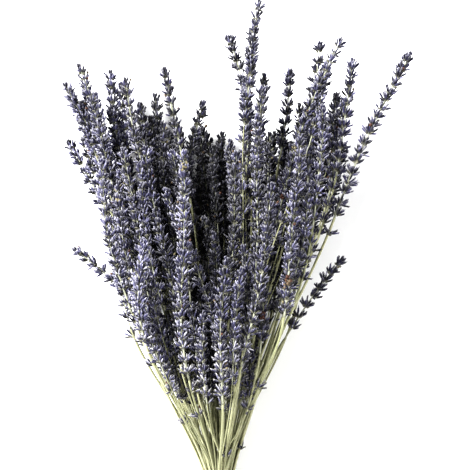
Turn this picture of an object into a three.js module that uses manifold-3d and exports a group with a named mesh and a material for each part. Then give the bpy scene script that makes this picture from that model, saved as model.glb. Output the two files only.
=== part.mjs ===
// A bunch of dried lavender lying on its side, held by a wound rubber band.
// Millimetres, +Z up. While it is built the band's middle is at x = 0, y = 0, and the
// flowers point along +Y; at the end the whole bunch is centred on the origin.
import * as THREE from "three";
import Module from "manifold-3d";

const wasm = await Module();
wasm.setup();

// ---- sizes -------------------------------------------------------------------
const UNIT = 0.8;                 // mm for each unit of the sprig table below
const TIE_X = 218.5;              // where the band's middle lies in the table's units
const TIE_Y = 503;
const STEM_HALF = 0.9;            // half the side of a stem, which is square
const STEM_END = -50;             // where the stems are cut, below the band
const STEM_GAP = 0.3;             // between a stem's end and the head that it carries
const SLOT_PITCH = 2.28;          // from stem to stem inside the band
const COLUMNS = [4, 6, 7, 8, 8, 8, 7, 6, 4];   // stems side by side, each a column
const CORE_R = 8.7;               // the pressed middle of the bundle, under the band
const CORE_HALF = 5.2;
const GRIP = 5;                   // the stems run parallel this far above and below its middle
const BAND_HALF = 5;              // half the band's width
const BAND_TURNS = 5;
const BAND_GROOVE = 1.1;          // thickness between two turns
const BAND_CREST = 1.9;           // thickness on a turn
const BAND_SIDES = 20;
const FAN_WIDTH = 0.325;          // how fast the fan widens, to each side
const FAN_START = 0.2;            // the same just above the band
const FAN_RISE = 0.14;            // how fast its middle rises, and its half thickness
const PITCH = 16.5;               // from whorl to whorl
const SIDES = 5;                  // buds in each of a whorl's two tiers
const CROWD_GIRTH = 6;            // heads at least this wide stand in the crowd, where they
const CROWD_LONGER = 2;           // reach this much further down than they can be seen, but
const CROWD_FOOT = 76;            // not below this height, which rises to both sides
const FOOT_LEFT = 1;              // by so much for each millimetre that they are to the left
const FOOT_RIGHT = 1.35;          // or to the right,
const FAR_RIGHT = 60;             // and beyond this many millimetres to the right
const FOOT_FAR = 3;               // by so much more for each of them
const CROWD_WIDER = 1.34;
const CLEAR = 0.22;               // between two heads, or a head and a stem
const SIDEWAYS = 0.2;             // how readily sprigs that are pressed apart move sideways

// ---- the sprigs ----------------------------------------------------------------
// Tip x, tip y, head base x, head base y (y runs down), depth (0 under, 1 on top)
// and the radius out to the bud tips in mm.
const SPRIGS = [
  [63, 82, 106, 165, 0.6, 6.5], [78, 65, 117, 178, 0.8, 6.5], [107, 66, 119, 172, 0.3, 5.6],
  [119, 77, 128, 158, 0.15, 5.6], [127, 78, 140, 182, 0.65, 6.5], [153, 88, 163, 165, 0.05, 6.5],
  [164, 65, 190, 152, 0.45, 5.2], [204, 97, 189, 172, 0.25, 6.5], [207, 122, 209, 195, 0.05, 6.5],
  [225, 34, 250, 138, 0.5, 5.8], [259, 2, 246, 132, 0.7, 6.2], [262, 88, 254, 228, 0.85, 7],
  [290, 64, 280, 155, 0.25, 5], [319, 39, 306, 142, 0.4, 5.6], [341, 40, 297, 166, 0.75, 6.6],
  [353, 57, 330, 176, 0.55, 5.8], [339, 89, 328, 165, 0.3, 6.5], [408, 53, 333, 218, 0.7, 5.8],
  [345, 256, 286, 341, 0.45, 4.8], [70, 247, 130, 306, 0.4, 4.6], [66, 137, 107, 212, 0.25, 5],
  [86, 135, 108, 205, 0.5, 5.4], [188, 150, 190, 272, 1, 7.2], [163, 187, 196, 290, 0.9, 6.5],
  [225, 255, 222, 385, 1, 7.4], [240, 150, 229, 262, 0.9, 7.2], [296, 136, 286, 232, 0.85, 7],
  [275, 182, 250, 332, 0.97, 7.2], [303, 232, 283, 300, 0.8, 7], [308, 108, 298, 222, 0.65, 6.5],
  [273, 285, 259, 338, 0.9, 6.5], [243, 345, 240, 408, 0.9, 6.5], [208, 345, 193, 398, 0.9, 6.5],
  [148, 238, 152, 330, 0.97, 7.4], [118, 215, 140, 312, 0.7, 7], [165, 262, 180, 345, 0.65, 6.5],
  [137, 285, 172, 358, 0.92, 7], [148, 322, 172, 394, 0.5, 6], [200, 215, 210, 300, 0.5, 6.5],
  [126, 148, 142, 240, 0.88, 7.2], [105, 158, 124, 248, 0.75, 7], [150, 145, 162, 240, 0.8, 7],
  [172, 148, 182, 225, 0.6, 6.5], [303, 98, 290, 196, 0.1, 6.5], [318, 105, 312, 200, 0.85, 7],
  [332, 112, 322, 198, 0.5, 6.5], [343, 142, 320, 222, 0.35, 6.5], [285, 122, 278, 220, 0.12, 6.5],
  [231, 136, 231, 232, 0.2, 6.5], [200, 292, 206, 368, 0.7, 6.5], [106, 202, 131, 284, 0.1, 6.5],
  [139, 98, 158, 198, 0.1, 6.5], [172, 118, 184, 214, 0.1, 6.5], [270, 128, 262, 226, 0.1, 6.5],
  [318, 150, 298, 250, 0.1, 6.5], [160, 340, 186, 400, 0.05, 6.5], [262, 330, 248, 398, 0.2, 6.5],
  [216, 134, 219, 236, 0.05, 6.5],
];

// A repeatable random number from 0 to 1, each time it is called.
function seeded(seed) {
  let state = seed;
  return () => {
    state = (state + 0x6d2b79f5) | 0;
    let t = Math.imul(state ^ (state >>> 15), 1 | state);
    t = (t + Math.imul(t ^ (t >>> 7), 61 | t)) ^ t;
    return ((t ^ (t >>> 14)) >>> 0) / 4294967296;
  };
}

// The stems' places inside the band: columns of a honeycomb, each centred on the bundle.
function slotList() {
  const slots = [];
  COLUMNS.forEach((count, column) => {
    const x = (column - (COLUMNS.length - 1) / 2) * SLOT_PITCH * Math.sqrt(3) / 2;
    for (let k = 0; k < count; k++) {
      slots.push({ x, z: (k - (count - 1) / 2) * SLOT_PITCH });
    }
  });
  return slots;
}

const SLOTS = slotList();
const SLOT_R = Math.max(...SLOTS.map((slot) => Math.hypot(slot.x, slot.z)));
const BUNDLE_R = Math.max(...SLOTS.map((slot) =>
  Math.hypot(Math.abs(slot.x) + STEM_HALF, Math.abs(slot.z) + STEM_HALF)));
const BAND_INNER = (BUNDLE_R + STEM_GAP) / Math.cos(Math.PI / BAND_SIDES);
const TIE_Z = (BAND_INNER + BAND_CREST) * Math.cos(Math.PI / BAND_SIDES);

// How high the fan's middle lies above the floor at y, and how far it reaches up and down.
const fanMiddle = (y) => TIE_Z + FAN_RISE * y;

// Gives every sprig its place in the band: from left to right by the way it leans, then
// from low to high within its column, so that stems seldom cross.
function seat(rows) {
  const sprigs = rows.map(([tipX, tipY, baseX, baseY, depth, girth]) => {
    const crowded = girth >= CROWD_GIRTH;
    const longer = crowded ? CROWD_LONGER : 1;
    const wide = crowded ? girth * CROWD_WIDER : girth;
    const tip = { x: (tipX - TIE_X) * UNIT, y: (TIE_Y - tipY) * UNIT };
    const slant = (baseX - tipX) / (baseY - tipY);
    const offset = (baseX - TIE_X) * UNIT;
    const foot = CROWD_FOOT + Math.max(-FOOT_LEFT * offset, FOOT_RIGHT * offset)
      + FOOT_FAR * Math.max(0, offset - FAR_RIGHT);
    const drop = Math.min(longer * (baseY - tipY) * UNIT,
      Math.max((baseY - tipY) * UNIT, tip.y - foot));
    const base = { x: tip.x + slant * drop, y: tip.y - drop };
    for (const point of [tip, base]) {
      point.z = wide + depth * (2 * fanMiddle(point.y) - 2 * wide);
    }
    const lean = base.x / (10 + FAN_WIDTH * base.y);
    return { tip, base, depth, girth: wide, lean };
  });
  sprigs.sort((a, b) => a.lean - b.lean);
  let first = 0;
  return COLUMNS.flatMap((count) => {
    const column = sprigs.slice(first, first + count).sort((a, b) => a.depth - b.depth);
    column.forEach((sprig, k) => { sprig.slot = SLOTS[first + k]; });
    first += count;
    return column;
  });
}

// ---- the way that a sprig runs ---------------------------------------------------
// One coordinate of a sprig, x or z, at the height y: straight through the band, a cubic up
// to the head's base, and a parabola that carries on from there to the tip.
function along(sprig, key, y) {
  const { base, tip, slot } = sprig;
  const start = key === "x" ? slot.x : TIE_Z + slot.z;
  const spread = key === "x" ? FAN_START * slot.x / SLOT_R
    : FAN_RISE * (1 + slot.z / SLOT_R);
  const rise = base.y - GRIP;
  const chord = (base[key] - start) / rise;
  const head = (tip[key] - base[key]) / (tip.y - base.y);
  const slope = 0.5 * (chord + head);
  if (y < GRIP) {
    return start + 0.25 * (key === "x" ? spread : spread - FAN_RISE) * Math.max(0, -GRIP - y);
  }
  if (y < base.y) {
    const t = (y - GRIP) / rise;
    return start * (1 + t * t * (2 * t - 3)) + base[key] * t * t * (3 - 2 * t)
      + rise * (spread * t * (t - 1) * (t - 1) + slope * t * t * (t - 1));
  }
  const s = y - base.y;
  return base[key] + slope * s + (head - slope) * s * s / (tip.y - base.y);
}

const pointAt = (sprig, y) => new THREE.Vector3(along(sprig, "x", y), y, along(sprig, "z", y));

// The direction of a sprig at y, and two directions square to it.
function frameAt(sprig, y) {
  const way = pointAt(sprig, y + 0.5).sub(pointAt(sprig, y - 0.5)).normalize();
  const across = new THREE.Vector3(0, 0, 1).cross(way).normalize();
  return { way, across, over: new THREE.Vector3().crossVectors(way, across) };
}

// The reach of the buds at the part t of the way from a head's base to its tip.
const reach = (girth, t) => girth * (1 - 0.38 * Math.min(1, Math.max(0, t)) ** 1.6);

// ---- settling --------------------------------------------------------------------
// What a sprig takes up at each sampled height: its place, direction and radius.
function sampleSprig(sprig, heights) {
  return heights.map((y) => {
    if (y > sprig.tip.y) return null;
    const t = (y - sprig.base.y) / (sprig.tip.y - sprig.base.y);
    const point = pointAt(sprig, y);
    const radius = t < 0 ? STEM_HALF * 1.3 : reach(sprig.girth, Math.max(0, t - 0.08));
    return { point, way: frameAt(sprig, y).way, radius, t, part: y / sprig.base.y };
  });
}

// Moves the sample of a sprig by moving the head's base and tip that it hangs on.
function nudge(sprig, sample, x, z) {
  const atBase = sample.t < 0 ? sample.part ** 1.5 : 1 - sample.t;
  const atTip = Math.max(0, sample.t);
  sprig.push.baseX += x * atBase;
  sprig.push.baseZ += z * atBase;
  sprig.push.tipX += x * atTip;
  sprig.push.tipZ += z * atTip;
}

// Presses two sprigs apart where they come too close at one height.
function part(a, b, atA, atB) {
  const dx = atB.point.x - atA.point.x;
  const dz = atB.point.z - atA.point.z;
  const need = atA.radius + atB.radius + CLEAR;
  if (Math.abs(dx) > 1.6 * need || Math.abs(dz) > 1.6 * need) return;
  const way = atA.way.clone().add(atB.way).normalize();
  const shift = dx * way.x + dz * way.z;
  const apart = Math.sqrt(Math.max(0.01, dx * dx + dz * dz - shift * shift));
  if (apart >= need) return;
  const push = 0.5 * (need - apart) / Math.max(0.5, Math.hypot(dx, dz));
  nudge(a, atA, -SIDEWAYS * push * dx, -push * dz);
  nudge(b, atB, SIDEWAYS * push * dx, push * dz);
}

const limit = (value, most) => Math.max(-most, Math.min(most, value));

// Lets the sprigs press one another apart, on the floor and near where they are wanted.
function settle(sprigs, rounds) {
  const heights = [];
  for (let y = 14; y < 400; y += 6) heights.push(y);
  const wanted = sprigs.map(({ base, tip }) => ({ base: { ...base }, tip: { ...tip } }));
  for (let round = 0; round < rounds; round++) {
    const pull = round < rounds * 0.6 ? 0.02 : 0;
    const samples = sprigs.map((sprig) => sampleSprig(sprig, heights));
    for (const sprig of sprigs) sprig.push = { baseX: 0, baseZ: 0, tipX: 0, tipZ: 0 };
    heights.forEach((y, h) => {
      sprigs.forEach((sprig, i) => {
        const at = samples[i][h];
        if (!at) return;
        const sink = at.radius + 0.05 - at.point.z;
        if (sink > 0) nudge(sprig, at, 0, sink);
        for (let j = i + 1; j < sprigs.length; j++) {
          if (samples[j][h]) part(sprig, sprigs[j], at, samples[j][h]);
        }
      });
    });
    sprigs.forEach((sprig, i) => {
      for (const [name, end] of [["base", sprig.base], ["tip", sprig.tip]]) {
        end.x += limit(0.3 * sprig.push[name + "X"], 1.2) + pull * (wanted[i][name].x - end.x);
        end.z += limit(0.3 * sprig.push[name + "Z"], 1.2) + pull * (wanted[i][name].z - end.z);
      }
    });
  }
}

// ---- the pieces --------------------------------------------------------------------
// A closed mesh from points and triangles.
function solid(points, triangles) {
  const geometry = new THREE.BufferGeometry();
  geometry.setAttribute("position", new THREE.Float32BufferAttribute(
    points.flatMap((point) => [point.x, point.y, point.z]), 3));
  geometry.setIndex(triangles.flat());
  geometry.computeVertexNormals();
  return geometry;
}

// One bud: the triangle of the core that it grows from is raised to a point.
function bud(points, triangles, corners, peak) {
  points.push(peak);
  const top = points.length - 1;
  corners.forEach((corner, k) => triangles.push([corner, corners[(k + 1) % 3], top]));
}

// A flower head: a slim five-sided core whose every facet is raised to a pointed bud, in
// whorls of two tiers, the lower one spread wide and the upper one steeper.
function headGeometry(sprig, random) {
  const { base, tip, girth } = sprig;
  const length = tip.y - base.y;
  const whorls = Math.max(4, Math.round(Math.hypot(length, tip.x - base.x, tip.z - base.z) / PITCH));
  const step = length / (whorls + 0.55);
  const points = [];
  const triangles = [];
  const spin = random() * 2 * Math.PI;
  const ringRadius = (j) => (j === 0 ? 1.25 : girth * (0.36 - 0.14 * j / whorls));
  const onFrame = (y, angle, radius, lift) => {
    const { way, across, over } = frameAt(sprig, y);
    return pointAt(sprig, y).addScaledVector(across, radius * Math.cos(angle))
      .addScaledVector(over, radius * Math.sin(angle)).addScaledVector(way, lift);
  };
  const place = (j, k) => j * SIDES + (k + SIDES) % SIDES;
  const angleOf = (j, k) => spin + (k + j / 2) * 2 * Math.PI / SIDES;
  for (let j = 0; j <= whorls; j++) {
    for (let k = 0; k < SIDES; k++) {
      points.push(onFrame(base.y + j * step, angleOf(j, k), ringRadius(j), 0));
    }
  }
  for (let j = 0; j < whorls; j++) {
    for (let k = 0; k < SIDES; k++) {
      const wide = reach(girth, (j + 0.6) / whorls) * (0.9 + 0.1 * random());
      const steep = reach(girth, (j + 0.9) / whorls) * (0.62 + 0.1 * random());
      const y = base.y + j * step;
      const sway = 0.3 * (random() - 0.5);
      bud(points, triangles, [place(j, k), place(j, k + 1), place(j + 1, k)],
        onFrame(y + 0.35 * step, angleOf(j, k + 0.5) + sway, wide, 0.26 * step + random()));
      bud(points, triangles, [place(j, k + 1), place(j + 1, k + 1), place(j + 1, k)],
        onFrame(y + 0.7 * step, angleOf(j, k + 1) + sway, steep, 0.42 * step + random()));
    }
  }
  points.push(pointAt(sprig, tip.y));
  const peak = points.length - 1;
  for (let k = 0; k < SIDES; k++) triangles.push([place(whorls, k), place(whorls, k + 1), peak]);
  for (let k = 1; k < SIDES - 1; k++) triangles.push([0, k + 1, k]);
  return solid(points, triangles);
}

// The heights of a stem's rings, from its cut end up to the head that it carries.
function stemHeights(sprig, random) {
  const top = sprig.base.y - STEM_GAP;
  const count = Math.max(2, Math.round(sprig.base.y / 75));
  const heights = [STEM_END + 3 * (random() - 0.5), -GRIP, GRIP];
  for (let k = 1; k <= count; k++) heights.push(GRIP + (top - GRIP) * k / count);
  return heights;
}

// A square stem from its cut end to just under its head, as a solid that can be joined.
function stemSolid(sprig, random) {
  const vertices = [];
  const triangles = [];
  const rings = stemHeights(sprig, random);
  rings.forEach((y, j) => {
    const { across, over } = frameAt(sprig, Math.min(y, sprig.base.y));
    for (let k = 0; k < 4; k++) {
      const angle = (k + 0.5) * Math.PI / 2;
      const corner = pointAt(sprig, y)
        .addScaledVector(across, Math.SQRT2 * STEM_HALF * Math.cos(angle))
        .addScaledVector(over, Math.SQRT2 * STEM_HALF * Math.sin(angle));
      vertices.push(corner.x, corner.y, corner.z);
      if (j === rings.length - 1) continue;
      const low = 4 * j + k;
      const next = 4 * j + (k + 1) % 4;
      triangles.push(low, next, next + 4, low, next + 4, low + 4);
    }
  });
  const last = 4 * (rings.length - 1);
  triangles.push(0, 2, 1, 0, 3, 2, last, last + 1, last + 2, last, last + 2, last + 3);
  return new wasm.Manifold(new wasm.Mesh({
    numProp: 3, vertProperties: new Float32Array(vertices), triVerts: new Uint32Array(triangles),
  }));
}

// All the stems, joined where the band presses them together.
function stemsGeometry(sprigs, random) {
  const core = wasm.Manifold.cylinder(2 * CORE_HALF, CORE_R, CORE_R, BAND_SIDES, true)
    .rotate([90, 0, 0]).translate([0, 0, TIE_Z]);
  const joined = wasm.Manifold.union([core, ...sprigs.map((sprig) => stemSolid(sprig, random))]);
  const mesh = joined.getMesh();
  const geometry = new THREE.BufferGeometry();
  geometry.setAttribute("position", new THREE.BufferAttribute(mesh.vertProperties, 3));
  geometry.setIndex(Array.from(mesh.triVerts));
  geometry.computeVertexNormals();
  return geometry;
}

// The rubber band, wound round the stems in turns that lie side by side.
function bandGeometry() {
  const profile = [new THREE.Vector2(BAND_INNER, -BAND_HALF)];
  for (let k = 0; k <= 2 * BAND_TURNS; k++) {
    const thickness = k % 2 ? BAND_CREST : BAND_GROOVE;
    profile.push(new THREE.Vector2(BAND_INNER + thickness, -BAND_HALF + k * BAND_HALF / BAND_TURNS));
  }
  profile.push(new THREE.Vector2(BAND_INNER, BAND_HALF), profile[0].clone());
  const geometry = new THREE.LatheGeometry(profile, BAND_SIDES, Math.PI / BAND_SIDES);
  return geometry.translate(0, 0, TIE_Z);
}

// ---- the bunch -----------------------------------------------------------------------
const bunch = new THREE.Group();
bunch.name = "lavender_bunch";

function add(name, geometry, color, roughness) {
  const mesh = new THREE.Mesh(geometry,
    new THREE.MeshStandardMaterial({ color, roughness, metalness: 0 }));
  mesh.name = name;
  bunch.add(mesh);
}

const sprigs = seat(SPRIGS);
settle(sprigs, 300);
sprigs.forEach((sprig, i) => {
  const random = seeded(100 + i);
  const color = new THREE.Color(0x4b4580).offsetHSL(0.02 * (random() - 0.5), 0, 0.12 * random());
  add("head_" + String(i + 1).padStart(2, "0"), headGeometry(sprig, random), color, 0.9);
});
add("stems", stemsGeometry(sprigs, seeded(7)), 0xb9bb84, 0.8);
add("band", bandGeometry(), 0xb98a55, 0.6);

bunch.updateMatrixWorld(true);
const box = new THREE.Box3().setFromObject(bunch);
const middle = box.getCenter(new THREE.Vector3());
bunch.position.set(-middle.x, -middle.y, -box.min.z);

export default bunch;
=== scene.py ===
import math
import random
import bmesh
import bpy
from mathutils import Matrix, Vector


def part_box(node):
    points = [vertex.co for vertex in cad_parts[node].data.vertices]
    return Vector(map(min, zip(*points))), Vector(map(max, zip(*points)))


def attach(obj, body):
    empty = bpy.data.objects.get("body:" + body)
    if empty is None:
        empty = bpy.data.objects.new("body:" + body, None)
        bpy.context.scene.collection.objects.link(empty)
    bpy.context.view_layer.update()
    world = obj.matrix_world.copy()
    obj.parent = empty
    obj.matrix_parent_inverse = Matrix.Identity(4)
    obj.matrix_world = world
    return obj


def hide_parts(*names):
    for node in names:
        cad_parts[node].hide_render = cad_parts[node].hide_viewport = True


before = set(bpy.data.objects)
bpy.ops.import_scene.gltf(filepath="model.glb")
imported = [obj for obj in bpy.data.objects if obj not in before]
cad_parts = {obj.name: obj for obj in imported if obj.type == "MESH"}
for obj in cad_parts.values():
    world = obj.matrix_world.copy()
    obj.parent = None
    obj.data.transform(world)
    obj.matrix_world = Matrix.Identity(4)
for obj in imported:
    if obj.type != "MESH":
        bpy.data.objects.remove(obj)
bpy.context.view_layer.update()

# ---- The stems ---------------------------------------------------------------------
# Dried stems, square in section with a groove down each side, as grown: fifty-eight whose
# heads are CAD nodes, thinner ones between them, and a few that have lost their heads. They
# run straight through the band and fan out above it.
MM = 0.001
HEADS = [f"head_{number:02d}" for number in range(1, 59)]
BAND_LOW, BAND_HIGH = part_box("band")
TIE = (BAND_LOW + BAND_HIGH) / 2
STEM_HALF = 0.9 * MM
STEM_END = -50 * MM
SLOT_PITCH = 2.28 * MM
COLUMNS = [4, 6, 7, 8, 8, 8, 7, 6, 4]   # stems in each column of the bundle
GRIP = 5 * MM                           # the stems run straight this far from the tie's middle
FAN_START = 0.2                         # sideways slope of an outermost stem above the grip
FAN_RISE = 0.14                         # upward slope of a middle stem there
TAIL_FLARE = 0.25                       # how much of the fan's slopes the cut ends below have
HEAD_TAPER, TAPER_CURVE = 0.38, 1.6     # how much thinner a head's tip is, and how late
SWAY = 0.24                             # a sprig's waves, as a share of its girth
SWAY_GIRTH = 9 * MM                     # the largest girth that counts for that
SWAY_START = 80 * MM                    # they grow over this length
WAVE_ACROSS, WAVE_UP = 27 * MM, 33 * MM
HEAD_FOOT, HEAD_TUFT = 4 * MM, 12 * MM  # a head's two ends, which aren't of full girth


def clamp(value, low, high):
    return min(high, max(low, value))


class Sprig:
    """One sprig of lavender: where its stem sits in the band, where its head starts and
    ends, and how far the head's calyces may reach."""

    def __init__(self, name, slot, base, tip, girth):
        self.name = name
        self.slot = slot
        self.base = base
        self.tip = tip
        self.length = tip.y - base.y
        self.girth = girth
        self.random = random.Random(name)
        self.phases = [self.random.uniform(0, math.tau) for _ in range(2)]

    def taper(self, y):
        return 1 - HEAD_TAPER * clamp((y - self.base.y) / self.length, 0, 1) ** TAPER_CURVE

    def along(self, axis, y):
        """x (axis 0) or z (axis 2) at the height y over the band's middle."""
        slot, slant = self.slot[axis], self.slot[axis] / SLOT_RADIUS
        spread = FAN_START * slant if axis == 0 else FAN_RISE * (1 + slant)
        rise = self.base.y - GRIP
        chord = (self.base[axis] - slot) / rise
        head = (self.tip[axis] - self.base[axis]) / self.length
        slope = (chord + head) / 2
        if y < GRIP:
            flare = spread if axis == 0 else spread - FAN_RISE
            return slot + TAIL_FLARE * flare * max(0, -GRIP - y)
        if y < self.base.y:
            t = (y - GRIP) / rise
            return (slot * (1 + t * t * (2 * t - 3)) + self.base[axis] * t * t * (3 - 2 * t)
                    + rise * (spread * t * (t - 1) ** 2 + slope * t * t * (t - 1)))
        s = y - self.base.y
        return self.base[axis] + slope * s + (head - slope) * s * s / self.length

    def straight(self, y):
        return Vector((self.along(0, y), y, self.along(2, y)))

    def at(self, y):
        """The same, with the slight waves that a dried stem has, sideways and upwards."""
        sway = SWAY * min(self.girth, SWAY_GIRTH) * min(1, max(0, y - GRIP) / SWAY_START)
        return self.straight(y) + sway * Vector((
            math.sin(y / WAVE_ACROSS + self.phases[0]), 0,
            0.5 + 0.5 * math.sin(y / WAVE_UP + self.phases[1])))

    def pose(self, y):
        """A matrix that puts a shape on the sprig at y, with its own Z along the sprig."""
        way = (self.at(y + 0.5 * MM) - self.at(y - 0.5 * MM)).normalized()
        across = Vector((0, 0, 1)).cross(way).normalized()
        turn = Matrix((across, way.cross(across), way)).transposed().to_4x4()
        return Matrix.Translation(TIE + self.at(y)) @ turn


slots = []
for column, count in enumerate(COLUMNS):
    x = (column - (len(COLUMNS) - 1) / 2) * SLOT_PITCH * math.sqrt(3) / 2
    slots += [(x, 0, (k - (count - 1) / 2) * SLOT_PITCH) for k in range(count)]
SLOT_RADIUS = max(math.hypot(x, z) for x, _, z in slots)


def measured(name, slot):
    """The sprig whose head is a CAD node: the five corners nearest the band are its base,
    the furthest one is its tip, and the others tell how far its buds reach."""
    corners = {tuple(round(c, 6) for c in v.co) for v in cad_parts[name].data.vertices}
    points = sorted((Vector(c) - TIE for c in corners), key=lambda p: p.length)
    sprig = Sprig(name, slot, sum(points[:5], Vector()) / 5, points[-1], 0)
    sprig.girth = max((p - sprig.straight(p.y)).length / sprig.taper(p.y) for p in points[:-1]
                      if sprig.base.y + HEAD_FOOT < p.y < sprig.tip.y - HEAD_TUFT)
    return sprig


sprigs = [measured(name, slot) for name, slot in zip(HEADS, slots)]

# Thinner and shorter sprigs, which fill the bunch between those, a stem in each gap of the
# honeycomb of thicker stems.
THIN_HALF = 0.42 * MM
THIN_GIRTH = 7.6 * MM
FULL_GIRTH = 7.5 * MM                   # thin sprigs stand between heads of at least this girth
THIN_SHORTEST = 50 * MM                 # and only where there is room for this length of head
COLUMN_STEP = SLOT_PITCH * math.sqrt(3) / 2
FOOT = min(sprig.base.y for sprig in sprigs)
thin_sprigs = []
for number, (near, slot) in enumerate(zip(sprigs, slots)):
    beside = [s for s in sprigs if 0.5 * COLUMN_STEP < s.slot[0] - slot[0] < 1.5 * COLUMN_STEP
              and abs(s.slot[2] - slot[2]) < 0.6 * SLOT_PITCH]
    draw = random.Random(number)
    for far in beside:
        top = min(near.tip.y, far.tip.y) - draw.uniform(4, 60) * MM
        low = max(FOOT, min(near.base.y, far.base.y), top - draw.uniform(85, 130) * MM)
        if min(near.girth, far.girth) < FULL_GIRTH or top - low < THIN_SHORTEST:
            continue
        gap = ((2 * slot[0] + far.slot[0]) / 3, 0, far.slot[2])
        thin_sprigs.append(Sprig(f"thin_{number}", gap,
                                 (near.straight(low) + far.straight(low)) / 2,
                                 (near.straight(top) + far.straight(top)) / 2, THIN_GIRTH))

# A few more lie deep in the bunch, where the photograph shows only shade between the front
# heads, and short ones close its lower edge, over the stems: tip x and y and base x and y in
# pixels of the photograph, and each one's height over the floor in mm, or 0 for one that
# lies on top of the others.
PIXEL = 0.8 * MM
TIE_PIXEL_X, TIE_PIXEL_Y = 218.5, 503
PHOTO_SIDE = 470
FILLING_GIRTH = 8 * MM
SLOT_STEP, FIRST_SLOT = 11, 5           # this step spreads their stems over the bundle
LAID_OVER = 1.6 * MM                    # from the middle of a stem to that of one laid on it
FILLING = [(208, 130, 213, 225, 24), (199, 150, 208, 240, 16), (216, 142, 216, 250, 30),
           (112, 112, 131, 205, 22), (96, 128, 122, 220, 30), (146, 112, 160, 205, 20),
           (178, 122, 190, 215, 22), (264, 122, 258, 220, 20), (292, 138, 281, 235, 18),
           (330, 128, 312, 215, 24), (248, 140, 243, 240, 16), (190, 240, 202, 330, 18),
           (128, 240, 155, 330, 20), (238, 262, 232, 350, 16), (285, 225, 268, 310, 18),
           (278, 128, 268, 225, 22), (104, 150, 122, 240, 26), (88, 98, 108, 185, 30),
           (140, 300, 163, 374, 0), (151, 322, 173, 394, 0), (136, 288, 155, 350, 0),
           (164, 338, 185, 404, 0), (166, 340, 187, 402, 44),
           (181, 348, 196, 411, 47), (213, 350, 212, 414, 44), (231, 354, 228, 416, 47),
           (252, 346, 246, 413, 46), (150, 300, 176, 360, 60), (190, 300, 201, 372, 58),
           (250, 290, 238, 366, 62), (252, 46, 246, 130, 84), (240, 74, 247, 165, 66),
           (263, 72, 256, 150, 66), (330, 60, 305, 150, 78), (322, 82, 302, 162, 58),
           (91, 90, 114, 175, 52), (77, 98, 106, 182, 44), (343, 96, 326, 170, 50),
           (122, 106, 136, 198, 34), (140, 100, 152, 190, 28), (108, 104, 126, 196, 40),
           (86, 120, 112, 206, 24), (222, 128, 224, 215, 22), (316, 112, 300, 200, 34),
           (168, 124, 182, 214, 18), (272, 140, 266, 228, 20), (283, 136, 275, 226, 24),
           (70, 86, 101, 176, 58), (83, 82, 109, 170, 40)]


def on_top(x, y):
    """The height at which a stem lies on the sprigs that pass under x at y."""
    under = [s.at(y).z for s in sprigs if abs(s.at(y).x - x) < 4 * MM]
    return max(under) + LAID_OVER


def laid(x, y, height):
    """The point at a pixel of the photograph, at a height over the floor or else on top."""
    x, y = (x - TIE_PIXEL_X) * PIXEL, (TIE_PIXEL_Y - y) * PIXEL
    return Vector((x, y, height * MM - TIE.z if height else on_top(x, y)))


for number, (tip_x, tip_y, base_x, base_y, height) in enumerate(FILLING):
    slot = slots[(number * SLOT_STEP + FIRST_SLOT) % len(slots)]
    tip, base = laid(tip_x, tip_y, height), laid(base_x, base_y, height)
    if not height:
        slot = min(slots, key=lambda place: (place[0] - 0.12 * base.x) ** 2 - 0.01 * place[2])
        tip.z = min(tip.z, base.z + 0.25 * (tip.y - base.y))
    gap = (slot[0] + SLOT_PITCH / math.sqrt(3), 0, slot[2])
    thin_sprigs.append(Sprig(f"filling_{number}", gap, base, tip, FILLING_GIRTH))

# And some stems have lost their heads: where each ends, in pixels, its height there in mm, or
# 0 for one that lies on top of the others, and its place in the band, across and up, in mm.
HEADLESS = [(176, 378, 26, -6.2, -1.0), (182, 384, 34, -5.0, 2.2), (187, 380, 24, -4.4, -3.5),
            (168, 362, 22, -7.2, 0.5), (254, 384, 24, 5.0, -2.0), (262, 362, 30, 6.5, 1.5),
            (248, 392, 36, 3.6, 4.0), (196, 392, 0, 5.8, 7.6), (235, 442, 0, 2.4, 9.6),
            (174, 356, 0, -4.2, 8.8), (182, 364, 0, -2.2, 9.4), (212, 346, 0, -0.6, 9.6),
            (233, 374, 0, 1.6, 9.2), (244, 350, 0, 3.4, 8.8), (192, 366, 0, -1.4, 9.0)]
HEADLESS_GIRTH = 5 * MM
HEADLESS_SHARE = 0.8                    # their thickness, against that of the others
headless = []
for number, (x, y, height, across, up) in enumerate(HEADLESS):
    end = laid(x, y, height)
    gap = (across * MM, 0, up * MM)
    beyond = end + (end - Vector(gap)) * 0.2
    headless.append(Sprig(f"headless_{number}", gap, end, beyond, HEADLESS_GIRTH))


class Wire:
    """A value inside a shader, for writing the shader's maths as ordinary Python."""

    def __init__(self, tree, socket):
        self.tree = tree
        self.socket = socket

    def maths(self, operation, first, second):
        node = self.tree.nodes.new("ShaderNodeMath")
        node.operation = operation
        for socket, value in zip(node.inputs, (first, second)):
            if isinstance(value, Wire):
                self.tree.links.new(value.socket, socket)
            else:
                socket.default_value = value
        return Wire(self.tree, node.outputs[0])

    def __add__(self, other):
        return self.maths("ADD", self, other)

    def __sub__(self, other):
        return self.maths("SUBTRACT", self, other)

    def __mul__(self, other):
        return self.maths("MULTIPLY", self, other)

    def __pow__(self, other):
        return self.maths("POWER", self, other)


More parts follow.
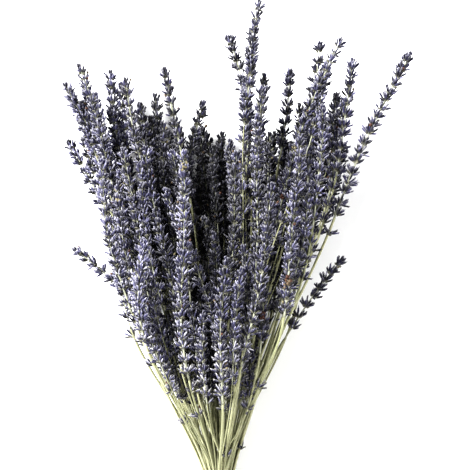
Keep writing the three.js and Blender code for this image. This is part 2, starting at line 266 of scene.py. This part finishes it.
class Finish:
    """A material and the nodes that give it its colour and its relief."""

    def __init__(self, name, roughness):
        self.material = bpy.data.materials.new(name)
        self.material.use_nodes = True
        self.tree = self.material.node_tree
        self.shader = self.tree.nodes["Principled BSDF"]
        self.shader.inputs["Roughness"].default_value = roughness

    def node(self, kind, settings=None, output=0, **inputs):
        """Adds a node with its settings, ramp stops and inputs; spaces in names are _."""
        made = self.tree.nodes.new("ShaderNode" + kind)
        for name, value in (settings or {}).items():
            if name == "stops":
                ramp = made.color_ramp
                while len(ramp.elements) < len(value):
                    ramp.elements.new(1)
                for element, (place, colour) in zip(ramp.elements, value):
                    element.position = place
                    element.color = (*colour, 1)
            else:
                setattr(made, name, value)
        for name, value in inputs.items():
            socket = made.inputs[int(name[1:])] if name[1:].isdigit() \
                else made.inputs[name.replace("_", " ")]
            if isinstance(value, Wire):
                self.tree.links.new(value.socket, socket)
            else:
                socket.default_value = value
        return Wire(self.tree, made.outputs[output])

    def mix(self, share, first, second):
        """A colour between two, each a colour or a wire."""
        first, second = ((*c, 1) if isinstance(c, tuple) else c for c in (first, second))
        return self.node("Mix", {"data_type": "RGBA"}, 2, i0=share, i6=first, i7=second)

    def noise(self, size, stretch=(1, 1, 1)):
        """Noise on Object coordinates with features about size metres across."""
        place = self.node("TexCoord", None, 3)
        place = self.node("Mapping", None, 0, Vector=place, Scale=stretch)
        return self.node("TexNoise", None, 0, Vector=place, Scale=1 / size, Detail=2.0)

    def attribute(self, name):
        return self.node("Attribute", {"attribute_name": name}, 2)

    def put(self, socket, wire):
        self.tree.links.new(wire.socket, self.shader.inputs[socket])

    def relief(self, height, distance):
        self.put("Normal", self.node("Bump", None, 0, Height=height, Distance=distance,
                                     Strength=1.0))


straw = Finish("dried_stem", 0.72)
streak = straw.noise(0.9 * MM, (1, 0.03, 1))
blotch = straw.noise(14 * MM, (1, 0.4, 1))
ripe = straw.node("ValToRGB", {"stops": [
    (0.25, (0.24, 0.24, 0.135)), (0.45, (0.42, 0.42, 0.26)), (0.62, (0.46, 0.46, 0.32)),
    (0.8, (0.48, 0.48, 0.365))]}, 0, Fac=streak * 0.75 + blotch * 0.35 - 0.06)
green = straw.mix(streak, (0.13, 0.145, 0.07), (0.33, 0.345, 0.215))
aged = straw.mix(straw.attribute("age") ** 2 * 0.7, ripe, green)
# Painted shade: the stems' grooves are darkened in colour.
straw.put("Base Color", straw.mix(straw.attribute("groove") * 0.75, aged, (0.12, 0.12, 0.06)))
straw.relief(streak, 0.12 * MM)

pith = Finish("cut_pith", 0.85)
pith.put("Base Color", pith.mix(pith.noise(0.5 * MM), (0.62, 0.56, 0.38), (0.30, 0.25, 0.13)))

# A straight rod one unit long that every stem is bent from: eight sides, of which four are
# the corners of a square and four the grooves between them.
RINGS = 26
GROOVE_DEPTH, CORNER_REACH = 0.9, 1.27
WAVER = 0.13                            # how far a stem wavers, in mm
WAVER_START = 60 * MM                   # it wavers that much from this far above the band on
KNOT = 0.18                             # how much thicker a stem is at a knot
STEM_TAPER, TAPER_RUN = 0.12, 300 * MM  # how much thinner a stem gets over this length
rod = bmesh.new()
bmesh.ops.create_cone(rod, cap_ends=True, segments=8, radius1=1, radius2=1, depth=1)
bmesh.ops.translate(rod, verts=rod.verts, vec=(0, 0, 0.5))
uprights = [e for e in rod.edges if abs(e.verts[0].co.z - e.verts[1].co.z) > 0.5]
bmesh.ops.subdivide_edges(rod, edges=uprights, cuts=RINGS)
groove = rod.verts.layers.float.new("groove")
rod.verts.layers.float.new("age")
caps = [face for face in rod.faces if abs(face.normal.z) > 0.9]
bmesh.ops.inset_individual(rod, faces=caps, thickness=0.2)
for vert in rod.verts:
    turn = math.atan2(vert.co.y, vert.co.x)
    vert[groove] = abs(math.cos(2 * turn)) > 0.5
    vert.co.xy *= GROOVE_DEPTH if vert[groove] else CORNER_REACH
for face in rod.faces:
    face.material_index = int(face in caps)
    face.smooth = abs(face.normal.z) < 0.9
rod_mesh = bpy.data.meshes.new("rod")
rod.to_mesh(rod_mesh)
rod.free()


def bent_rod(mesh, sprig, low, high, half):
    """Adds the rod to the mesh, bent along a sprig from low to high; half(y) is half its
    side there, and the sprig's own random numbers make it waver a little and give its age."""
    copy = rod_mesh.copy()
    waver = [sprig.random.uniform(0, math.tau) for _ in range(4)]
    age = 0.5 + 0.5 * math.sin(waver[0])
    copy.attributes["age"].data.foreach_set("value", [age] * len(copy.vertices))
    spin = Matrix.Rotation(sprig.random.uniform(0, math.tau), 2)
    for vert in copy.vertices:
        y = low + (high - low) * vert.co.z
        free = min(1, abs(y) / WAVER_START)
        sway = Vector((math.sin(y / (13 * MM) + waver[0]) + math.sin(y / (31 * MM) + waver[1]),
                       math.sin(y / (17 * MM) + waver[2]), 0)) * WAVER * MM * free
        knot = 1 + KNOT * max(0, math.sin(y / (11 * MM) + waver[3])) ** 30
        across = (spin @ vert.co.xy).to_3d()
        vert.co = sprig.pose(y) @ (across * half(y) * knot + sway)
    mesh.from_mesh(copy)
    bpy.data.meshes.remove(copy)


def finished(name, mesh, materials, slot, *replaced):
    """The bmesh as an object that rides with the bunch and stands for its CAD nodes."""
    data = bpy.data.meshes.new(name)
    mesh.to_mesh(data)
    mesh.free()
    for finish in materials:
        data.materials.append(finish.material)
    piece = bpy.data.objects.new(name, data)
    bpy.context.scene.collection.objects.link(piece)
    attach(piece, "root")
    if replaced:
        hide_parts(*replaced)


stems = bmesh.new()
for sprig in sprigs + thin_sprigs + headless:
    half = THIN_HALF if sprig in thin_sprigs else STEM_HALF
    half *= HEADLESS_SHARE if sprig in headless else 1
    half *= sprig.random.uniform(0.84, 1.06)
    bent_rod(stems, sprig, STEM_END + sprig.random.uniform(-1.5, 3) * MM, sprig.base.y,
             lambda y: half * (1 - STEM_TAPER * max(0, y) / TAPER_RUN))
finished("dried_stems", stems, [straw, pith], "stems", "stems")

# ---- The flower heads --------------------------------------------------------------
# Each head is a spike of whorls on a square stalk. A whorl is a crown of ribbed, felted
# calyces, which stay indigo when they dry, over two papery bracts. A few calyces still
# hold a shrivelled flower, brown or beige.
CALYX_RINGS = [(0.0, 0.0), (0.22, 0.38), (0.5, 0.98), (0.84, 0.8), (1.0, 0.92)]
CALYX_HALF = 0.82 * MM
RIB, VALLEY = 1.14, 0.84                # a calyx's half width on a rib and between two
BRACT_HALF = 2.3 * MM
PAPER_THICK = 0.12 * MM
TONES = 7
TONE_SPREAD = 0.22                      # how much the calyces of one whorl differ in tone
SLIM = 7 * MM                           # a head of less girth is slim: no calyces between whorls
SLIM_REACH = 1.45                       # how far a slim head's calyces reach, in its girths
MISSING, SLIM_MISSING = 0.17, 0.04      # the share of calyces that have fallen off
WITHERED = 0.011                        # the share that hold a withered flower
WHORL_TILT = 0.16                       # in radians
LONGEST = 8.8 * MM
LOWEST = 0.2 * MM                       # how near the floor a calyx may come
FELTED, PAPERY, SHRIVELLED = 2, 3, 4    # places in HEAD_FINISHES


def template(name, made, tone, finish):
    """A finished shape, in one of the head's materials, to be copied many times. Its
    vertices carry its tone beside what they already carry."""
    light = made.verts.layers.float.new("tone")
    for vert in made.verts:
        vert[light] = tone
    bmesh.ops.recalc_face_normals(made, faces=made.faces)
    for face in made.faces:
        face.smooth = True
        face.material_index = finish
    data = bpy.data.meshes.new(name)
    made.to_mesh(data)
    made.free()
    return data


def calyx(bend, shut, tone):
    """A calyx one unit long: a thin foot, a ribbed tube that swells and narrows again, and
    a toothed mouth, open or still shut in a point. Its vertices carry how far up they are,
    and whether they are on a rib or between two."""
    made = bmesh.new()
    up = made.verts.layers.float.new("up")
    rib = made.verts.layers.float.new("rib")
    bmesh.ops.create_cone(made, cap_ends=True, segments=6, radius1=1, radius2=1, depth=1)
    bmesh.ops.translate(made, verts=made.verts, vec=(0, 0, 0.5))
    long_edges = [e for e in made.edges if abs(e.verts[0].co.z - e.verts[1].co.z) > 0.5]
    bmesh.ops.subdivide_edges(made, edges=long_edges, cuts=len(CALYX_RINGS) - 2)
    mouth = max(made.faces, key=lambda f: f.calc_center_median().z)
    tip = bmesh.ops.poke(made, faces=[mouth])["verts"][0]
    for vert in made.verts:
        height, wide = CALYX_RINGS[round(vert.co.z * (len(CALYX_RINGS) - 1))]
        vert[rib] = math.cos(3 * math.atan2(vert.co.y, vert.co.x)) > 0
        vert[up] = height
        wide *= RIB if vert[rib] else VALLEY
        if height == 1:
            wide *= 0.5 if shut else 1
            height += 0.05 if vert[rib] else -0.09
        vert.co = (vert.co.x * wide * CALYX_HALF, vert.co.y * wide * CALYX_HALF, height)
    tip.co = (0, 0, 1.16 if shut else 0.84)
    tip[up] = 1 if shut else 0.7
    tip[rib] = 0.5
    bmesh.ops.remove_doubles(made, verts=made.verts, dist=0.01 * MM)
    for vert in made.verts:
        vert.co.x += bend * MM * vert.co.z ** 2
    return template("calyx", made, tone, FELTED)


def bract():
    """A papery bract: a broad, pointed, hollow scale, one unit long."""
    made = bmesh.new()
    bmesh.ops.create_grid(made, x_segments=3, y_segments=4, size=1)
    for vert in made.verts:
        side, height = vert.co.x, (vert.co.y + 1) / 2
        wide = BRACT_HALF * math.sin(math.pi * min(1, 0.12 + 0.86 * height)) ** 0.8
        vert.co = (0.9 * MM * side * side - 0.5 * MM * math.sin(3 * height), side * wide, height)
    bmesh.ops.solidify(made, geom=list(made.faces), thickness=PAPER_THICK)
    return template("bract", made, 0.5, PAPERY)


def withered(tone):
    """A shrivelled flower that hangs out of a calyx's mouth, from brown (tone 0) to beige."""
    made = bmesh.new()
    bmesh.ops.create_icosphere(made, subdivisions=1, radius=1)
    crumple = random.Random(5)
    for vert in made.verts:
        pull = crumple.uniform(0.6, 1.3)
        vert.co = (vert.co.x * 0.7 * MM * pull, vert.co.y * 1.2 * MM * pull,
                   1.12 + 0.22 * vert.co.z * pull)
    return template("withered_flower", made, tone, SHRIVELLED)


# Calyces that flare outwards, stand straight, and are shut and curved in, each in tones
# from nearly black to pale.
calyces = [[calyx(bend, shut, tone / (TONES - 1)) for tone in range(TONES)]
           for bend, shut in ((0.9, False), (0.1, False), (-0.8, True))]
bract_shape = bract()
flowers = [withered(tone) for tone in (0, 0.4, 1)]

# The painted highlight on the felt's edges, its ribs and the teeth of its mouth, is straw
# where the crowd of heads ends, over the stems, and grey above.
CROWD_END = TIE.y + 85 * MM
CROWD_FULL = TIE.y + 150 * MM
felt = Finish("felted_calyx", 0.86)
felt.shader.inputs["Sheen Weight"].default_value = 0.14
felt.shader.inputs["Sheen Roughness"].default_value = 0.6
fuzz = felt.noise(0.45 * MM)
patch = felt.noise(9 * MM)
light = felt.attribute("tone") * 0.8 + fuzz * 0.3 + patch * 0.3 - 0.2
indigo = felt.node("ValToRGB", {"stops": [
    (0.0, (0.003, 0.003, 0.006)), (0.3, (0.007, 0.006, 0.022)), (0.55, (0.024, 0.022, 0.071)),
    (0.8, (0.106, 0.103, 0.180)), (1.0, (0.39, 0.385, 0.41))]}, 0, Fac=light)
# Painted highlight: the ribs, and below them the mouth's teeth, are mixed towards a pale colour,
# by a share that grows with the calyx's tone.
ridge = felt.attribute("rib") ** 4
pale = felt.attribute("tone") * 0.55 + 0.19
crowd_end = felt.node("SeparateXYZ", None, 1, Vector=felt.node("TexCoord", None, 3))
crowd_end = felt.node("MapRange", None, 0, Value=crowd_end, From_Min=CROWD_END,
                      From_Max=CROWD_FULL, To_Min=0.7, To_Max=0.0)
highlight = felt.mix(crowd_end, (0.525, 0.517, 0.555), (0.58, 0.57, 0.45))
ribbed = felt.mix(ridge * pale, indigo, highlight)
foot = felt.node("MapRange", None, 0, Value=felt.attribute("up"), From_Min=0.1, From_Max=0.42,
                 To_Min=0.85, To_Max=0.0)
footed = felt.mix(foot, ribbed, felt.mix(crowd_end, (0.095, 0.097, 0.072), (0.27, 0.265, 0.18)))
# The mouth's teeth get the painted highlight too.
mouth_highlight = felt.node("MapRange", None, 0, Value=felt.attribute("up"), From_Min=0.88, From_Max=1.0,
                To_Min=0.0, To_Max=1.0)
felt.put("Base Color", felt.mix(mouth_highlight * pale, footed, highlight))
felt.relief(fuzz + ridge * 0.5, 0.15 * MM)

stalk = Finish("flowering_stalk", 0.78)
down = stalk.noise(1.1 * MM, (1, 0.15, 1))
stalk.put("Base Color", stalk.mix(down, (0.13, 0.135, 0.11), (0.47, 0.48, 0.355)))
stalk.relief(down, 0.1 * MM)

paper = Finish("papery_bract", 0.8)
vein = paper.noise(1.1 * MM, (1, 0.4, 1))
paper.put("Base Color", paper.mix(vein, (0.29, 0.285, 0.225), (0.10, 0.095, 0.07)))
paper.relief(vein, 0.1 * MM)

wither = Finish("withered_flower", 0.75)
crumple = wither.noise(0.8 * MM)
brown = wither.node("ValToRGB", {"stops": [
    (0.35, (0.022, 0.009, 0.006)), (0.55, (0.075, 0.030, 0.019)), (0.75, (0.17, 0.105, 0.07))]},
    0, Fac=crumple)
wither.put("Base Color", wither.mix(wither.attribute("tone"), brown, (0.16, 0.14, 0.085)))
wither.relief(crumple, 0.2 * MM)


def stand(mesh, shape, place, turn, out, lean, wide, long, twist=0.0, rise=0.0):
    """Adds a copy of a shape: turned round the stalk, moved out from it, leant outwards."""
    copy = shape.copy()
    copy.transform(place @ Matrix.Rotation(turn, 4, "Z") @ Matrix.Translation((out, 0, rise))
                   @ Matrix.Rotation(lean, 4, "Y") @ Matrix.Rotation(twist, 4, "Z")
                   @ Matrix.Diagonal((wide, wide, long, 1)))
    mesh.from_mesh(copy)
    bpy.data.meshes.remove(copy)


def shade_of(roll, tone):
    """Which of the tones a calyx has: its whorl's, shifted by a random number."""
    return clamp(round((tone + roll.gauss(0, TONE_SPREAD)) * (TONES - 1)), 0, TONES - 1)


def whorl(mesh, sprig, y, turn, crown, tone, lean_to):
    """A whorl at y, with crown calyces in its outer circle, which lean out by as much as
    lean_to degrees, and two fewer in its inner one."""
    roll = sprig.random
    place = sprig.pose(y) @ Matrix.Rotation(roll.gauss(0, WHORL_TILT), 4, "X") \
        @ Matrix.Rotation(roll.gauss(0, WHORL_TILT), 4, "Y")
    slim = sprig.girth < SLIM
    room = sprig.girth * sprig.taper(y) * (SLIM_REACH if slim else roll.uniform(0.76, 1))
    above = sprig.tip.y - y
    for number, low, high, inset in ((crown, 0.55 * lean_to, lean_to, 0.9),
                                     (crown - 2, 0.2 * lean_to, 0.6 * lean_to, 0.5)):
        for k in range(number):
            if roll.random() < (SLIM_MISSING if slim else MISSING):
                continue
            lean = math.radians(roll.uniform(low, high))
            long = min(LONGEST, (room - MM) / math.sin(lean), above / math.cos(lean))
            long *= roll.uniform(0.72, 1)
            around = turn + (k + roll.uniform(-0.35, 0.35)) * math.tau / number
            shade = shade_of(roll, tone)
            shape = calyces[roll.choice((0, 0, 1, 1, 2))][shade]
            wide = roll.uniform(0.88, 1.12) * (1.14 if slim else 1)
            where = (place, around, inset * MM, lean, wide, long,
                     roll.uniform(-0.4, 0.4), roll.uniform(-1.1, 1.3) * MM)
            stand(mesh, shape, *where)
            if roll.random() < WITHERED:
                stand(mesh, roll.choice(flowers), *where)
    for side in (0, math.pi):
        stand(mesh, bract_shape, place, turn + side, 0.9 * MM, math.radians(roll.uniform(30, 60)),
              roll.uniform(0.8, 1.1), min(5.5 * MM, 0.55 * room) * roll.uniform(0.8, 1))


# Painted light at the bunch's sides and the crowd's low end, and painted shade in its middle:
SIDE_START, SIDE_RUN = 30 * MM, 60 * MM
LOW_START, LOW_RUN = 150 * MM, 50 * MM
LEFT_PAINTED_LIGHT, RIGHT_PAINTED_LIGHT, LOW_PAINTED_LIGHT, MIDDLE_PAINTED_SHADE = 0.34, 0.13, 0.27, -0.11


def painted_light_and_shade(place):
    """How much paler or darker than its head a whorl is, in painted light and shade: those at the
    bunch's sides, mostly the left one, which faces the key light, and at the crowd's low end are
    painted paler, and those in the middle are painted darker."""
    side = clamp((abs(place.x) - SIDE_START) / SIDE_RUN, 0, 1)
    low = clamp((LOW_START - place.y) / LOW_RUN, 0, 1)
    return (LEFT_PAINTED_LIGHT if place.x < 0 else RIGHT_PAINTED_LIGHT) * side + LOW_PAINTED_LIGHT * low + MIDDLE_PAINTED_SHADE


# How a head is built up, from its tip down. The gap from whorl to whorl starts as the pitch
# and grows by the opening, both in mm, and in a full head by LOOSE_GAP more once the part
# LOOSE of its length is passed. The other parts are counted from the tip as well.
SLIM_PITCH, SLIM_OPENING = 7, 2.4
PITCH, LEAST_OPENING, MORE_OPENING = 6, 0.6, 4.4
LOOSE, LOOSE_GAP = 0.65, 10
TUFT_CALYCES, TUFT_DEPTH = 7, 6.3 * MM
FIRST_GAP = 4 * MM
STRAYS = 4                              # single calyces between two whorls of a full head:
NO_STRAYS, FEW_STRAYS = 0.15, 0.7       # none before the first part, and one after the second
LONE_START, LONE_RANGE = 6 * MM, 75 * MM


def add_head(head, sprig, thick, tone):
    """Grows a sprig's head: the stalk, the tuft at its tip, and the whorls down to its base,
    further apart towards the base, as each sprig's own random numbers say, with single
    calyces between them. A few more whorls stand alone on the stem below."""
    roll = sprig.random
    slim = sprig.girth < SLIM
    pitch, opening = (SLIM_PITCH, SLIM_OPENING) if slim \
        else (PITCH, LEAST_OPENING + MORE_OPENING * roll.uniform(0, 1))
    bent_rod(head, sprig, sprig.base.y, sprig.tip.y - 5 * MM,
             lambda y: thick * (0.82 - 0.4 * (y - sprig.base.y) / sprig.length))
    steep = sprig.pose(sprig.tip.y).col[2].y
    top = sprig.tip.y - TUFT_DEPTH * steep
    for k in range(TUFT_CALYCES):
        stand(head, calyces[k % 3][round(tone * (TONES - 1))], sprig.pose(top), k * 2.4,
              0.4 * MM, math.radians(0 if k == 0 else roll.uniform(10, 28)), 0.85,
              (5.8 if k == 0 else roll.uniform(4.4, 5.6)) * MM)
    turn = roll.uniform(0, math.tau)
    y = top - FIRST_GAP * steep
    while y > sprig.base.y + 1.5 * MM:
        part = (sprig.tip.y - y) / sprig.length
        # The whorl's tone, with painted light and shade for where it lies in the bunch.
        here = tone + painted_light_and_shade(sprig.at(y))
        whorl(head, sprig, y, turn, 8 if slim or part < 0.12 else 9, here, 50 + 22 * part)
        turn += math.pi / 2 + roll.uniform(-0.2, 0.2)
        wider = 0 if slim else LOOSE_GAP * max(0, part - LOOSE)
        gap = (pitch + opening * part ** 0.8 + wider) * MM * roll.uniform(0.78, 1.22)
        gap *= sprig.pose(y).col[2].y
        strays = STRAYS if part < FEW_STRAYS else 1
        for _ in range(0 if slim or part < NO_STRAYS else strays):
            shade = shade_of(roll, here)
            shape = calyces[roll.randrange(3)][shade]
            stand(head, shape, sprig.pose(y - gap * roll.uniform(0.2, 0.8)),
                  roll.uniform(0, math.tau), 0.7 * MM, math.radians(roll.uniform(25, 60)),
                  roll.uniform(0.8, 1), roll.uniform(4.6, 7.4) * MM, roll.uniform(-0.4, 0.4))
        y -= gap
    y -= LONE_START
    slope = roll.uniform(0.5, 0.9) if sprig.base.x < 0 else roll.uniform(1.4, 1.9)
    while y > max(FOOT + slope * abs(sprig.at(y).x), sprig.base.y - LONE_RANGE):
        whorl(head, sprig, y, turn, 6, tone, 62)
        y -= roll.uniform(12, 24) * MM


HEAD_FINISHES = [stalk, pith, felt, paper, wither]
# Two pale heads and two dark ones, whose tones don't follow from their height.
TONES_SEEN = {"head_25": 0.62, "head_10": 0.66, "head_56": 0.28, "head_02": 0.34}
DARKEST, PALEST = 0.1, 0.74
# Painted shade: a head is paler the higher it lies in the bunch.
DEPTH_SHADE_BY_HEIGHT = 0.44                  # how much paler a head is for each 100 mm of height


def tone_and_depth_shade(sprig):
    """A head's tone: its own random tone, with painted shade that makes the heads deep in the
    bunch darker and those on top of it paler.
    """
    height = (TIE.z + (sprig.base.z + sprig.tip.z) / 2) / (100 * MM)
    return clamp(0.09 + DEPTH_SHADE_BY_HEIGHT * height + sprig.random.gauss(0, 0.1), DARKEST, PALEST)


def pressed(heads):
    """The calyces at the very bottom are pressed flat by the floor."""
    for vert in heads.verts:
        vert.co.z = max(vert.co.z, LOWEST)
    return heads


for sprig in sprigs:
    head = bmesh.new()
    add_head(head, sprig, STEM_HALF, TONES_SEEN.get(sprig.name, tone_and_depth_shade(sprig)))
    finished(sprig.name.replace("head", "flower_head"), pressed(head), HEAD_FINISHES, "flower",
             sprig.name)

THIN_PIECES = 6
# Painted shade: the thin heads, among and under the others, are this much darker in tone.
THIN_PAINTED_SHADE = 0.04
for piece in range(THIN_PIECES):
    heads = bmesh.new()
    for sprig in thin_sprigs[piece::THIN_PIECES]:
        add_head(heads, sprig, THIN_HALF * 1.4, tone_and_depth_shade(sprig) - THIN_PAINTED_SHADE)
    finished(f"thin_heads_{piece + 1}", pressed(heads), HEAD_FINISHES, "flower")

# Small whorls that hang on the bare stems, and tufts of withered flowers, brown (0) to beige
# (2), that show in the crowd, all at these pixels of the photograph.
CAUGHT = [(202, 417), (241, 453), (226, 459), (184, 424), (261, 389)]
TUFTS = [(285, 198, 0), (283, 279, 0), (290, 284, 1), (262, 315, 0), (268, 318, 0),
         (103, 163, 2), (119, 186, 2), (126, 201, 2), (297, 148, 2), (188, 168, 2)]
TUFT_FLOWERS = 7
caught = bmesh.new()
for x, y in CAUGHT:
    height = (TIE_PIXEL_Y - y) * PIXEL
    near = [s for s in sprigs if abs(s.at(height).x - (x - TIE_PIXEL_X) * PIXEL) < 3 * MM]
    host = max(near, key=lambda s: s.at(height).z)
    whorl(caught, host, height, turn=0, crown=5, tone=0.45, lean_to=55)
for x, y, kind in TUFTS:
    height = (TIE_PIXEL_Y - y) * PIXEL
    near = [s for s in sprigs + thin_sprigs if s.base.y < height < s.tip.y - HEAD_TUFT
            and abs(s.at(height).x - (x - TIE_PIXEL_X) * PIXEL) < 5 * MM]
    host = max(near, key=lambda s: s.at(height).z)
    roll = random.Random(x * y)
    for _ in range(TUFT_FLOWERS):
        stand(caught, flowers[kind], host.pose(height + roll.uniform(-2, 2) * MM),
              math.pi / 2 + roll.uniform(-0.6, 0.6), 0, math.radians(roll.uniform(60, 80)),
              roll.uniform(0.9, 1.5), roll.uniform(0.35, 0.6) * host.girth * host.taper(height),
              roll.uniform(0, math.pi))
finished("caught_whorls", caught, HEAD_FINISHES, "flower")

# ---- The rubber band ---------------------------------------------------------------
# A plain natural-rubber band, wound five times round the stems and pulled tight on them.
# Each turn lies beside the last, a little uneven.
TURNS = 5
BAND_SIDES = 72
CLEAR = 1.15 * MM                       # from a stem's middle to the band over it
STRAND_MIDDLE, STRAND_HALF = 0.85, 0.8  # a turn's middle and half its thickness, in mm
DIRECTIONS = [step * math.tau / BAND_SIDES for step in range(BAND_SIDES)]
REACH = {way: CLEAR + max(x * math.cos(way) + z * math.sin(way) for x, _, z in slots)
         for way in DIRECTIONS}


def tight(around):
    """How far from its middle the bundle reaches, under a band that is stretched round it."""
    return min(REACH[way] / math.cos(way - around) for way in DIRECTIONS
               if math.cos(way - around) > 0.5)


rubber = Finish("natural_rubber", 0.55)
grain = rubber.noise(0.6 * MM)
bloom = rubber.noise(5 * MM)
rubber.put("Base Color", rubber.mix(bloom, (0.45, 0.31, 0.17), (0.33, 0.215, 0.11)))
rubber.put("Roughness", grain * 0.3 + 0.42)
rubber.relief(grain, 0.06 * MM)

band = bmesh.new()
uneven = random.Random(11)
width = (BAND_HIGH.y - BAND_LOW.y) / TURNS
for turn in range(TURNS):
    strand = bmesh.new()
    bmesh.ops.create_circle(strand, segments=12, radius=1)
    for vert in strand.verts:
        vert.co = (1 + (STRAND_MIDDLE + STRAND_HALF * vert.co.x) * MM, 0.48 * width * vert.co.y, 0)
    bmesh.ops.spin(strand, geom=strand.verts[:] + strand.edges[:], cent=(0, 0, 0),
                   axis=(0, 1, 0), angle=math.tau, steps=BAND_SIDES, use_merge=True)
    slack = [uneven.uniform(0, math.tau) for _ in range(2)]
    for vert in strand.verts:
        around = math.atan2(vert.co.z, vert.co.x)
        beyond = math.hypot(vert.co.x, vert.co.z) - 1 + tight(around)
        vert.co.x, vert.co.z = beyond * math.cos(around), beyond * math.sin(around)
        vert.co.y += 0.07 * width * (math.sin(around + slack[0]) + math.sin(3 * around + slack[1]))
        vert.co.y += (turn - (TURNS - 1) / 2) * width * 0.94
    bmesh.ops.recalc_face_normals(strand, faces=strand.faces)
    bmesh.ops.translate(strand, verts=strand.verts, vec=TIE)
    for face in strand.faces:
        face.smooth = True
    wound = bpy.data.meshes.new("turn")
    strand.to_mesh(wound)
    strand.free()
    band.from_mesh(wound)
    bpy.data.meshes.remove(wound)
finished("rubber_band", band, [rubber], "band", "band")

# ---- The floor, the light and the camera --------------------------------------------
# The bunch lies on a pale floor and is seen from straight above, flowers at the top.
MIDDLE = Vector((TIE.x + (PHOTO_SIDE / 2 - TIE_PIXEL_X) * PIXEL,
                 TIE.y + (TIE_PIXEL_Y - PHOTO_SIDE / 2) * PIXEL, 0))
FLOOR_HALF = 12
SENSOR = 36
DISTANCE = 2.0                          # metres from the camera down to the plane SCALED_AT
SCALED_AT = 0.06                        # over the floor, where PIXEL is a pixel of the render

white = Finish("pale_floor", 0.9)
white.shader.inputs["Base Color"].default_value = (0.93, 0.93, 0.93, 1)
floor_mesh = bmesh.new()
bmesh.ops.create_grid(floor_mesh, x_segments=1, y_segments=1, size=FLOOR_HALF)
floor_data = bpy.data.meshes.new("floor")
floor_mesh.to_mesh(floor_data)
floor_mesh.free()
floor_data.materials.append(white.material)
floor = bpy.data.objects.new("floor", floor_data)
bpy.context.scene.collection.objects.link(floor)


def studio_light(name, way, spread, strength):
    """A soft, even light from one direction, as wide as spread degrees."""
    lamp = bpy.data.lights.new(name, "SUN")
    lamp.angle = math.radians(spread)
    lamp.energy = strength
    holder = bpy.data.objects.new(name, lamp)
    holder.rotation_euler = Vector(way).to_track_quat("Z", "Y").to_euler()
    bpy.context.scene.collection.objects.link(holder)


studio_light("key_light", (-1.25, 0.75, 1.35), spread=28, strength=9.6)
studio_light("fill_light", (1.1, -0.5, 1.2), spread=38, strength=2.1)
sky = bpy.data.worlds.new("sky")
sky.use_nodes = True
sky.node_tree.nodes["Background"].inputs["Color"].default_value = (1, 1, 1, 1)
sky.node_tree.nodes["Background"].inputs["Strength"].default_value = 0.35
bpy.context.scene.world = sky
bpy.context.scene.view_settings.view_transform = "Standard"
bpy.context.scene.view_settings.look = "High Contrast"

lens = bpy.data.cameras.new("camera")
camera = bpy.data.objects.new("camera", lens)
camera.location = MIDDLE + Vector((0, 0, DISTANCE + SCALED_AT))
lens.sensor_width = SENSOR
lens.lens = SENSOR * DISTANCE / (PHOTO_SIDE * PIXEL)
bpy.context.scene.collection.objects.link(camera)
bpy.context.scene.camera = camera
